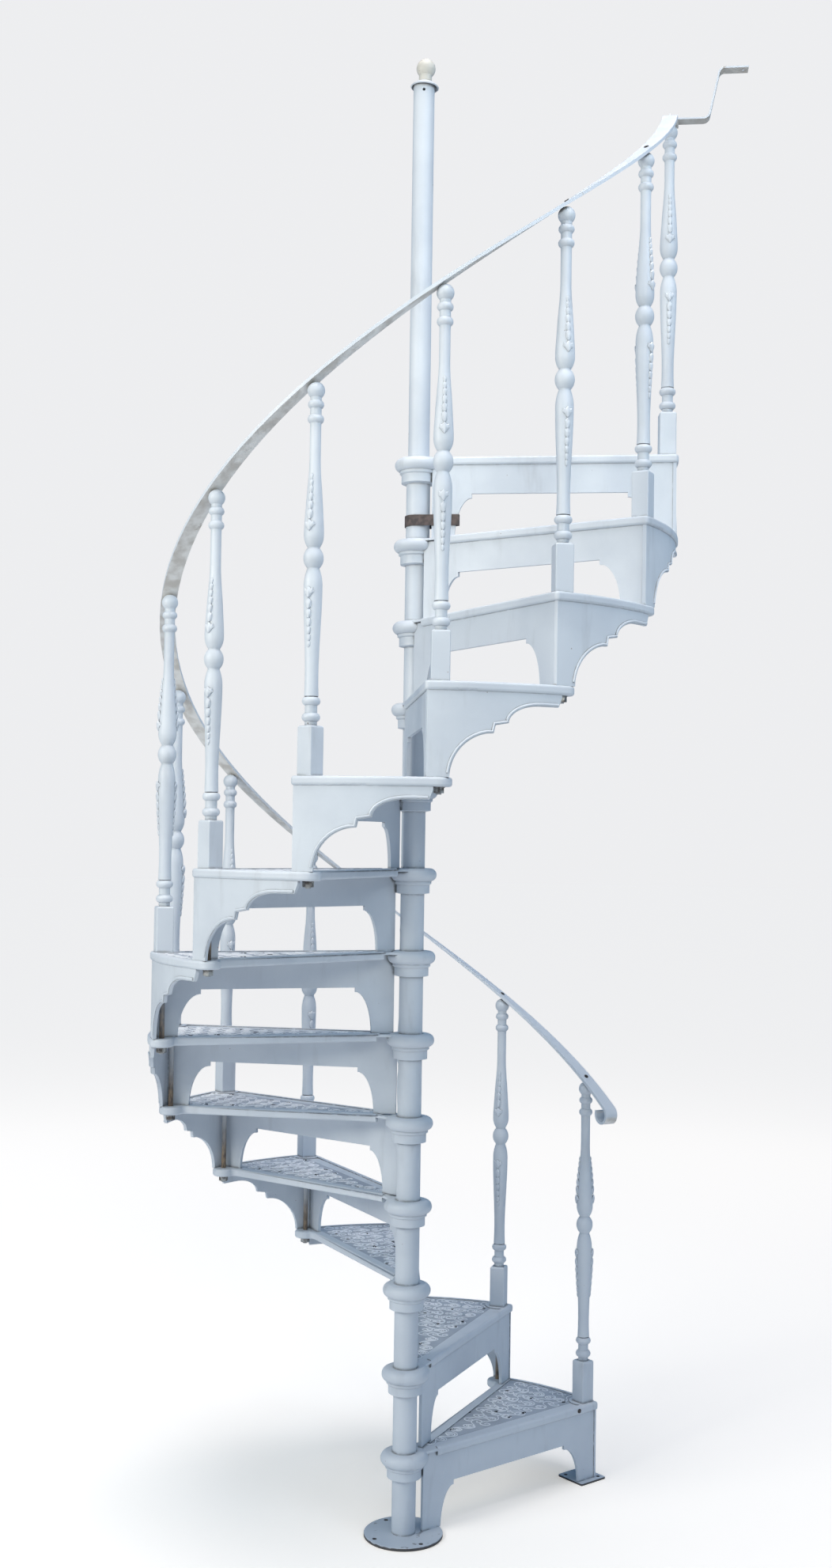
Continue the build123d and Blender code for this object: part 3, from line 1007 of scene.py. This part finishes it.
    def piercing(self, reach: float, offset: float) -> bpy.types.Object:
        """Models one dark oval piercing.

        Args:
            reach: Its distance from the pole.
            offset: Its offset from the tread's middle line.

        Returns:
            The piercing's filling, which ends below the ridges' tops.
        """
        top = self.floor + self.ridge_height * self.piercing_top
        deselect_all()
        bpy.ops.mesh.primitive_circle_add(
            vertices=self.piercing_sides, radius=1.0, location=(reach, offset, top), fill_type="NGON"
        )
        spot = bpy.context.object
        spot.scale = self.piercing_size
        with editing(spot):
            extrude((0, 0, -self.ridge_height))
        settle(spot)
        return spot

    def piercings(self) -> bpy.types.Object:
        """Models one tread's piercings in the step's frame.

        Returns:
            The joined piercings.
        """
        spots = [self.piercing(reach, offset) for reach, offset in self.piercing_spots]
        holes = join(spots, "tread_piercings")
        face_outwards(holes)
        holes.data.transform(self.plan.middle_line())
        return holes

    def bed(self) -> bpy.types.Object:
        """Models the sheet of painted shade on one panel's floor, in the step's frame.

        Returns:
            The thin bed.
        """
        middle = (self.bed_start + self.bed_end) / 2
        deselect_all()
        bpy.ops.mesh.primitive_plane_add(
            size=1.0, location=(middle, 0, self.floor), rotation=(math.pi / 2, 0, 0)
        )
        bed = bpy.context.object
        bed.name = "panel_bed"
        bed.scale = (self.bed_end - self.bed_start, self.bed_thickness, 1.0)
        settle(bed)
        bed.data.transform(Matrix.Rotation(self.bed_margin, 4, "Z"))
        sweep = self.plan.step_angle - 2 * self.bed_margin
        with editing(bed):
            bpy.ops.mesh.spin(steps=self.bed_steps, angle=-sweep, center=(0, 0, 0), axis=UP)
        face_outwards(bed)
        return bed

    def build(self) -> None:
        """Lays the painted shade bed, the scrolls and the piercings on every tread."""
        places = self.plan.places()
        # the bed's dark paint is painted shade
        lay_out(self.bed(), places, Finish.SHADE_BED)
        # the scrolls' lighter paint is a painted highlight on the ridges
        lay_out(self.scrolls(), places, Finish.RIDGE_HIGHLIGHT)
        lay_out(self.piercings(), places, Finish.HOLE)


@dataclass(frozen=True)
class Drop:
    """One garland on a vase: a palmette at its fuller end, and husks that shrink away from it."""

    palmette: float
    husks_from: float
    husks_to: float
    count: int
    taper: float = 0.28

    def husks(self) -> list[tuple[float, float]]:
        """Spaces the husks out.

        Returns:
            Their heights and sizes, from the palmette on.
        """
        span = self.husks_to - self.husks_from
        placed, reached = [], 0.0
        for number in range(self.count):
            size = 1.0 + self.taper * (1.0 - (2 * number + 1) / self.count)
            placed.append((self.husks_from + span * (reached + size / 2) / self.count, size))
            reached += size
        return placed


@dataclass
class BalusterGarlands:
    """Strings of pointed husks on two opposite sides of each baluster's two vases."""

    plan: StairPlan
    nodes: dict[str, bpy.types.Object]
    drops: tuple[Drop, ...] = (Drop(0.386, 0.372, 0.271, 6), Drop(0.527, 0.541, 0.637, 6))
    sides: int = 2

    # a husk: its outline, then each tier's rise as a share of the height, its shift to the
    # foot as a share of the length, and how much of the outline it keeps
    husk_length: float = 0.0205
    husk_width: float = 0.0108
    husk_height: float = 0.0048
    tiers: tuple[tuple[float, float, Triple], ...] = (
        (0.62, 0.05, (0.9, 0.88, 1.0)),
        (0.38, 0.09, (0.5, 0.6, 1.0)),
    )

    # how a husk lies on the vase: how deep, how far its tip leans in, and how far off a
    # line starts that finds the vase
    sunk: float = 0.0009
    lean: float = 10.0
    clear: float = 0.1

    # a palmette's leaves: their turns round the baluster, their swings and their sizes
    palmette_leaves: tuple[Triple, ...] = (
        (0.0, 0.0, 1.25),
        (12.0, -34.0, 1.0),
        (-12.0, 34.0, 1.0),
        (16.0, -78.0, 0.72),
        (-16.0, 78.0, 0.72),
    )

    # how far each baluster's garlands are turned from the outward direction
    turns: tuple[float, ...] = (-36, 1, 0, 0, -18, 12, 2, 20, -3, -1, -16, -13, -84)

    def husk(self) -> bpy.types.Object:
        """Models one husk, pointing up along y, with z outwards.

        Returns:
            The husk, lying on its base.
        """
        deselect_all()
        bpy.ops.mesh.primitive_circle_add(vertices=6, radius=0.5, fill_type="NGON")
        husk = bpy.context.object
        husk.scale = (self.husk_width, self.husk_length, 1.0)
        settle(husk)
        with editing(husk):
            for rise, shift, keep in self.tiers:
                extrude((0, -self.husk_length * shift, self.husk_height * rise))
                bpy.ops.transform.resize(value=keep)
        face_outwards(husk)
        return husk

    def reach_at(self, height: float) -> float:
        """Finds the vase's radius.

        Args:
            height: The height above the tread.

        Returns:
            The radius there, along the stair's x axis.
        """
        foot = self.plan.axis_of(1).translation
        start = foot + Vector((self.clear, 0, height))
        spot, _ = surface_hit(self.nodes["baluster_01"], start, Vector((-1, 0, 0)))
        return spot.x - foot.x

    def laid(
        self, husk: bpy.types.Object, side: float, height: float, swing: float, size: float
    ) -> bpy.types.Object:
        """Lays a copy of the husk on the vase.

        Args:
            husk: The husk to copy.
            side: Its direction round the baluster's axis, in degrees.
            height: Its height above the tread.
            swing: Its turn from upright, in degrees.
            size: Its size, as a share of the pattern's.

        Returns:
            The copy, round the baluster's own axis.
        """
        on_vase = Matrix.Translation((self.reach_at(height) - self.sunk, 0, height))
        upright = turned(self.lean, "Y") @ turned(90.0) @ turned(90.0, "X")
        shape = turned(swing) @ Matrix.Diagonal((size, size, size, 1.0))
        return copy_to(husk, "husk", turned(side) @ on_vase @ upright @ shape)

    def pattern(self) -> bpy.types.Object:
        """Strings the husks on one baluster.

        Returns:
            The joined garlands, round the baluster's own axis.
        """
        husk = self.husk()
        husks = []
        for number in range(self.sides):
            side = 360.0 * number / self.sides
            for drop in self.drops:
                for turn, swing, size in self.palmette_leaves:
                    husks.append(self.laid(husk, side + turn, drop.palmette, swing, size))
                for height, size in drop.husks():
                    husks.append(self.laid(husk, side, height, 0.0, size))
        bpy.data.objects.remove(husk)
        garland = join(husks, "garland")
        smooth(garland, 35.0)
        return garland

    def build(self) -> None:
        """Hangs the garlands on every baluster."""
        places = [self.plan.axis_of(number) @ turned(turn) for number, turn in enumerate(self.turns, start=1)]
        lay_out(self.pattern(), places, Finish.GARLAND)


@dataclass
class BracketBead:
    """The raised bead along the stepped and coved lower edge of each bracket.

    It is modelled flat, x along the rim and z up, and then bent round the rim. Each spot of
    the edge is given by its distance along the rim from the baluster, and its depth.
    """

    plan: StairPlan
    radius: float = 0.6248
    inset: float = 0.0048
    half_width: float = 0.0036
    profile_sides: int = 6
    foot: tuple[float, float] = (0.020, 0.192)
    arch_foot: tuple[float, float] = (0.020, 0.200)
    arch_end: tuple[float, float] = (0.113, 0.107)
    step: tuple[float, float] = (0.117, 0.090)
    flat: tuple[float, float] = (0.146, 0.085)
    cove: tuple[float, float] = (0.219, 0.047)
    end: tuple[float, float] = (0.262, 0.047)
    arc_steps: int = 10

    def arc(self, start: tuple[float, float], end: tuple[float, float]) -> list[tuple[float, float]]:
        """Spaces points along a quarter oval that leaves its start straight up.

        Args:
            start: Its lower spot.
            end: Its upper spot, where it runs level.

        Returns:
            Its points past the start, as far as they lie above the bracket's foot.
        """
        points = []
        for number in range(1, self.arc_steps + 1):
            angle = math.pi / 2 * number / self.arc_steps
            along = end[0] - (end[0] - start[0]) * math.cos(angle)
            depth = start[1] - (start[1] - end[1]) * math.sin(angle)
            points.append((along, depth))
        return [point for point in points if point[1] < self.foot[1]]

    def edge(self) -> list[Vector]:
        """The bracket's lower edge.

        Returns:
            Points along the edge, from its foot to its tip, with depths as negative heights.
        """
        arch = self.arc(self.arch_foot, self.arch_end)
        cove = self.arc(self.flat, self.cove)
        spots = [self.foot, *arch, self.step, self.flat, *cove, self.end]
        return [Vector((along, 0, -depth)) for along, depth in spots]

    def pattern(self) -> bpy.types.Object:
        """Models one bead in the step's frame.

        Returns:
            The bead.
        """
        edge = self.edge()
        runs = [(after - before).normalized() for before, after in zip(edge, edge[1:])]
        slopes = [math.atan2(run.z, run.x) for run in runs]
        bends = [slopes[0]] + [(a + b) / 2 for a, b in zip(slopes, slopes[1:])] + [slopes[-1]]
        half_turn = self.plan.step_angle / 2
        shift = Vector((self.radius * half_turn, 0, 0))
        line = [
            point + Vector((-math.sin(bend), 0, math.cos(bend))) * self.inset - shift
            for point, bend in zip(edge, bends)
        ]
        deselect_all()
        bpy.ops.mesh.primitive_circle_add(
            vertices=self.profile_sides,
            radius=self.half_width,
            location=line[0],
            rotation=(0, math.pi / 2 - bends[0], 0),
            fill_type="NGON",
        )
        bead = bpy.context.object
        bead.name = "bracket_bead"
        with editing(bead):
            for (before, after), (bend, next_bend) in zip(zip(line, line[1:]), zip(bends, bends[1:])):
                extrude(after - before)
                bpy.ops.transform.rotate(value=next_bend - bend, orient_axis="Y", center_override=after)
        settle(bead)
        face_outwards(bead)
        self.wrap(bead)
        bead.data.transform(
            Matrix.Rotation(math.pi / 2 + half_turn, 4, "Z") @ Matrix.Translation((0, -self.radius, 0))
        )
        smooth(bead, 50.0)
        return bead

    def wrap(self, bead: bpy.types.Object) -> None:
        """Bends the flat bead to the rim's radius.

        Args:
            bead: The bead, with its middle over the origin.
        """
        spread = [vertex.co.x for vertex in bead.data.vertices]
        bend = bead.modifiers.new("round_the_rim", "SIMPLE_DEFORM")
        bend.deform_method = "BEND"
        bend.deform_axis = "Z"
        bend.angle = (max(spread) - min(spread)) / self.radius
        bpy.ops.object.modifier_apply(modifier=bend.name)

    def build(self) -> None:
        """Lays the bead on every bracket."""
        lay_out(self.pattern(), self.plan.places(), Finish.WHITE)


@dataclass
class SlottedScrews:
    """Slotted screw heads: on the rail over each ball but the last, and on the lowest rim."""

    plan: StairPlan
    nodes: dict[str, bpy.types.Object]
    radius: float = 0.0055
    height: float = 0.0022
    sides: int = 16
    slot_width: float = 0.0011
    slot_depth: float = 0.0011
    edge_round: float = 0.00066

    # where the lines start that find the rail, above a tread, and the lowest tread's rim
    over_rail: float = 1.4
    before_rim: Triple = (0.556, -0.2, -0.009)

    def head(self) -> bpy.types.Object:
        """Models one screw head standing on z=0.

        Returns:
            The head.
        """
        deselect_all()
        bpy.ops.mesh.primitive_cylinder_add(
            vertices=self.sides, radius=self.radius, depth=self.height, location=(0, 0, self.height / 2)
        )
        head = bpy.context.object
        settle(head)
        with editing(head):
            for side in (-1, 1):
                bpy.ops.mesh.select_all(action="SELECT")
                bpy.ops.mesh.bisect(plane_co=(side * self.slot_width / 2, 0, 0), plane_no=(1, 0, 0))
            bpy.ops.mesh.select_all(action="DESELECT")
        for face in head.data.polygons:
            face.select = abs(face.center.x) < self.slot_width / 2 and face.normal.z > 0.9
        with editing(head, whole=False):
            extrude((0, 0, -self.slot_depth))
        face_outwards(head)
        round_edges(head, self.edge_round)
        smooth(head, 40.0)
        return head

    def build(self) -> None:
        """Sets the screws."""
        head = self.head()
        for number in range(1, self.plan.count):
            start = self.plan.axis_of(number) @ Vector((0, 0, self.over_rail))
            place = standing_on(*surface_hit(self.nodes["handrail"], start, -UP))
            dress(copy_to(head, f"rail_screw_{number:02d}", place), Finish.SCREW)
        step = self.plan.place(1)
        inwards = step.to_3x3() @ Vector((0, 1, 0))
        place = standing_on(*surface_hit(self.nodes["step_01"], step @ Vector(self.before_rim), inwards))
        dress(copy_to(head, "rim_screw", place), Finish.SCREW)
        bpy.data.objects.remove(head)
        LOG.info("screws: %d", self.plan.count)


@dataclass
class StripBolt:
    """The pointed bolt and its square nut over the last ball, holding the strip to the rail."""

    plan: StairPlan
    nodes: dict[str, bpy.types.Object]
    nut_side: float = 0.017
    nut_height: float = 0.006
    nut_turn: float = 18.0
    nut_round: float = 0.0012
    tip_radius: float = 0.0042
    tip_height: float = 0.014
    tip_sides: int = 12

    # the tip's tiers: their rise as shares of its height, and how much of the outline they keep
    tiers: tuple[tuple[float, float], ...] = ((0.45, 1.0), (0.06, 0.92), (0.3, 0.62), (0.19, 0.3))

    # where the line starts that finds the strip, above the last tread
    over_strip: float = 1.2

    def nut(self) -> bpy.types.Object:
        """Models the nut, standing on z=0.

        Returns:
            The nut.
        """
        deselect_all()
        bpy.ops.mesh.primitive_cylinder_add(
            vertices=4,
            radius=self.nut_side / math.sqrt(2),
            depth=self.nut_height,
            location=(0, 0, self.nut_height / 2),
            rotation=(0, 0, math.radians(self.nut_turn)),
        )
        nut = bpy.context.object
        settle(nut)
        round_edges(nut, self.nut_round)
        return nut

    def tip(self) -> bpy.types.Object:
        """Models the bolt's tip, from half way up in the nut.

        Returns:
            The tip.
        """
        deselect_all()
        bpy.ops.mesh.primitive_circle_add(
            vertices=self.tip_sides,
            radius=self.tip_radius,
            location=(0, 0, self.nut_height / 2),
            fill_type="NGON",
        )
        tip = bpy.context.object
        with editing(tip):
            for rise, keep in self.tiers:
                extrude((0, 0, self.tip_height * rise))
                bpy.ops.transform.resize(value=(keep, keep, 1))
        settle(tip)
        face_outwards(tip)
        return tip

    def build(self) -> None:
        """Sets the bolt on the strip's top."""
        start = self.plan.axis_of(self.plan.count) @ Vector((0, 0, self.over_strip))
        place = standing_on(*surface_hit(self.nodes["gooseneck"], start, -UP))
        bolt = join([self.nut(), self.tip()], "strip_bolt")
        bolt.data.transform(place)
        smooth(bolt, 40.0)
        dress(bolt, Finish.WHITE)
        LOG.info("strip bolt: 1")


# ---- studio ----


@dataclass(frozen=True)
class SoftLamp:
    """A soft square lamp: its place, target, side, power in watts, beam in degrees and tint."""

    name: str
    place: Triple
    target: Triple
    size: float
    power: float
    spread: float
    tint: Triple

    def build(self) -> None:
        """Adds the lamp."""
        lamp = bpy.data.lights.new(self.name, "AREA")
        lamp.shape = "SQUARE"
        lamp.size = self.size
        lamp.energy = self.power
        lamp.spread = math.radians(self.spread)
        lamp.color = self.tint
        holder = bpy.data.objects.new(self.name, lamp)
        bpy.context.scene.collection.objects.link(holder)
        aim = Vector(self.target) - Vector(self.place)
        holder.location = self.place
        holder.rotation_euler = aim.to_track_quat("-Z", "Y").to_euler()


@dataclass(frozen=True)
class Studio:
    """A plain pale floor, soft lights and a plain pale surround.

    The floor glows, and more so away from the stair: what it casts on the stair changes
    from near to far, and what is seen of it changes from the middle to haze. Each glow is a
    pair of colours, at the middle and away from it. The surround lights the stair with the
    room's tint, and is seen as a pale screen.
    """

    floor_radius: float = 60.0
    floor_colour: Colour = (0.94, 0.94, 0.94, 1.0)
    floor_roughness: float = 0.9
    cast_glow: tuple[Colour, Colour] = ((0.0, 0.0, 0.0, 1.0), (0.61, 0.525, 0.36, 1.0))
    seen_glow: tuple[Colour, Colour] = ((0.34, 0.30, 0.24, 1.0), (0.76, 0.67, 0.56, 1.0))
    near: float = 2.0
    haze: float = 6.0
    far: float = 14.0
    room_tint: Colour = (0.29, 0.60, 1.0, 1.0)
    room_light: float = 0.33
    screen_colour: Colour = (0.85, 0.855, 0.87, 1.0)
    lamps: tuple[SoftLamp, ...] = (
        SoftLamp("key_lamp", (-3.3, -2.4, 3.0), (0, 0, 1.0), 2.0, 90.0, 180.0, (1.0, 0.955, 0.846)),
        SoftLamp("top_lamp", (2.3, -2.1, 4.8), (0, 0, 2.7), 1.6, 5.0, 50.0, (0.667, 0.826, 1.0)),
        SoftLamp("sky_lamp", (0.3, -1.2, 7.2), (0, 0, 0), 4.0, 78.0, 90.0, (1.0, 0.90, 0.837)),
        SoftLamp("front_lamp", (0.6, -5.0, 4.0), (0, 0, 2.6), 2.0, 9.4, 60.0, (1.0, 0.95, 0.79)),
    )

    def floor(self) -> None:
        """Adds the floor."""
        deselect_all()
        bpy.ops.mesh.primitive_circle_add(vertices=96, radius=self.floor_radius, fill_type="NGON")
        floor = bpy.context.object
        floor.name = "studio_floor"
        sheet = ShaderSheet("studio_floor")
        sheet.coat(self.floor_colour, self.floor_roughness)
        span = sheet.node("VectorMath", _0=sheet.place)
        span.operation = "LENGTH"
        away = sheet.band(span.outputs["Value"], self.near, self.far)
        hazy = sheet.band(span.outputs["Value"], 0.0, self.haze)
        seen = sheet.node("LightPath").outputs["Is Camera Ray"]
        glow = sheet.blend(seen, sheet.blend(away, *self.cast_glow), sheet.blend(hazy, *self.seen_glow))
        sheet.feed(sheet.shader.inputs["Emission Color"], glow)
        sheet.shader.inputs["Emission Strength"].default_value = 1.0
        floor.data.materials.append(sheet.material)

    def surround(self) -> None:
        """Sets the even light of the room."""
        world = bpy.data.worlds.new("studio_room")
        world.use_nodes = True
        tree = world.node_tree
        room = tree.nodes["Background"]
        room.inputs["Color"].default_value = self.room_tint
        room.inputs["Strength"].default_value = self.room_light
        screen = tree.nodes.new("ShaderNodeBackground")
        screen.inputs["Color"].default_value = self.screen_colour
        choice = tree.nodes.new("ShaderNodeMixShader")
        seen = tree.nodes.new("ShaderNodeLightPath").outputs["Is Camera Ray"]
        tree.links.new(seen, choice.inputs["Fac"])
        tree.links.new(room.outputs["Background"], choice.inputs[1])
        tree.links.new(screen.outputs["Background"], choice.inputs[2])
        tree.links.new(choice.outputs["Shader"], tree.nodes["World Output"].inputs["Surface"])
        bpy.context.scene.world = world

    def build(self) -> None:
        """Sets up the whole studio."""
        self.floor()
        self.surround()
        for lamp in self.lamps:
            lamp.build()
        bpy.context.scene.view_settings.view_transform = "Standard"
        bpy.context.scene.view_settings.look = "None"
        LOG.info("studio: %d lamps", len(self.lamps))


@dataclass(frozen=True)
class EyeLevelCamera:
    """A camera at standing eye height in front of the stair.

    It looks along y, turned by its yaw, pitch and roll in degrees. Lens and sensor are in
    millimetres.
    """

    place: Triple = (0.009, -4.059, 1.673)
    yaw: float = -0.06
    pitch: float = 1.86
    roll: float = 0.83
    lens: float = 38.27
    sensor: float = 36.0
    sight: float = 200.0

    def build(self) -> None:
        """Adds the camera and makes it the scene's."""
        camera = bpy.data.cameras.new("eye_level")
        camera.sensor_width = self.sensor
        camera.lens = self.lens
        camera.clip_end = self.sight
        holder = bpy.data.objects.new("eye_level", camera)
        bpy.context.scene.collection.objects.link(holder)
        holder.location = self.place
        aim = Euler((math.radians(90 + self.pitch), 0, math.radians(-self.yaw)), "XYZ").to_matrix().to_4x4()
        holder.rotation_euler = (aim @ turned(self.roll)).to_euler()
        bpy.context.scene.camera = holder


# ---- all together ----


def dress_frame(frame: dict) -> None:
    """Puts the procedural finishes on the frame's own nodes.
    """
    slots = {part["node"]: part["material_slot"] for part in frame["record"]["subparts"]}
    for name, node in frame["nodes"].items():
        node.data.materials.clear()
        node.data.materials.append(SLOT_FINISH[slots[name]].material())
        smooth(node, 32.0)
    LOG.info("finishes on %d nodes", len(slots))


def main() -> None:
    """Builds the looks round the frame."""
    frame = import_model()
    dress_frame(frame)
    plan = StairPlan.from_frame(frame["record"])
    nodes = frame["nodes"]
    TreadRelief(plan).build()
    BalusterGarlands(plan, nodes).build()
    BracketBead(plan).build()
    SlottedScrews(plan, nodes).build()
    StripBolt(plan, nodes).build()
    Studio().build()
    EyeLevelCamera().build()


if __name__ == "__main__":
    main()
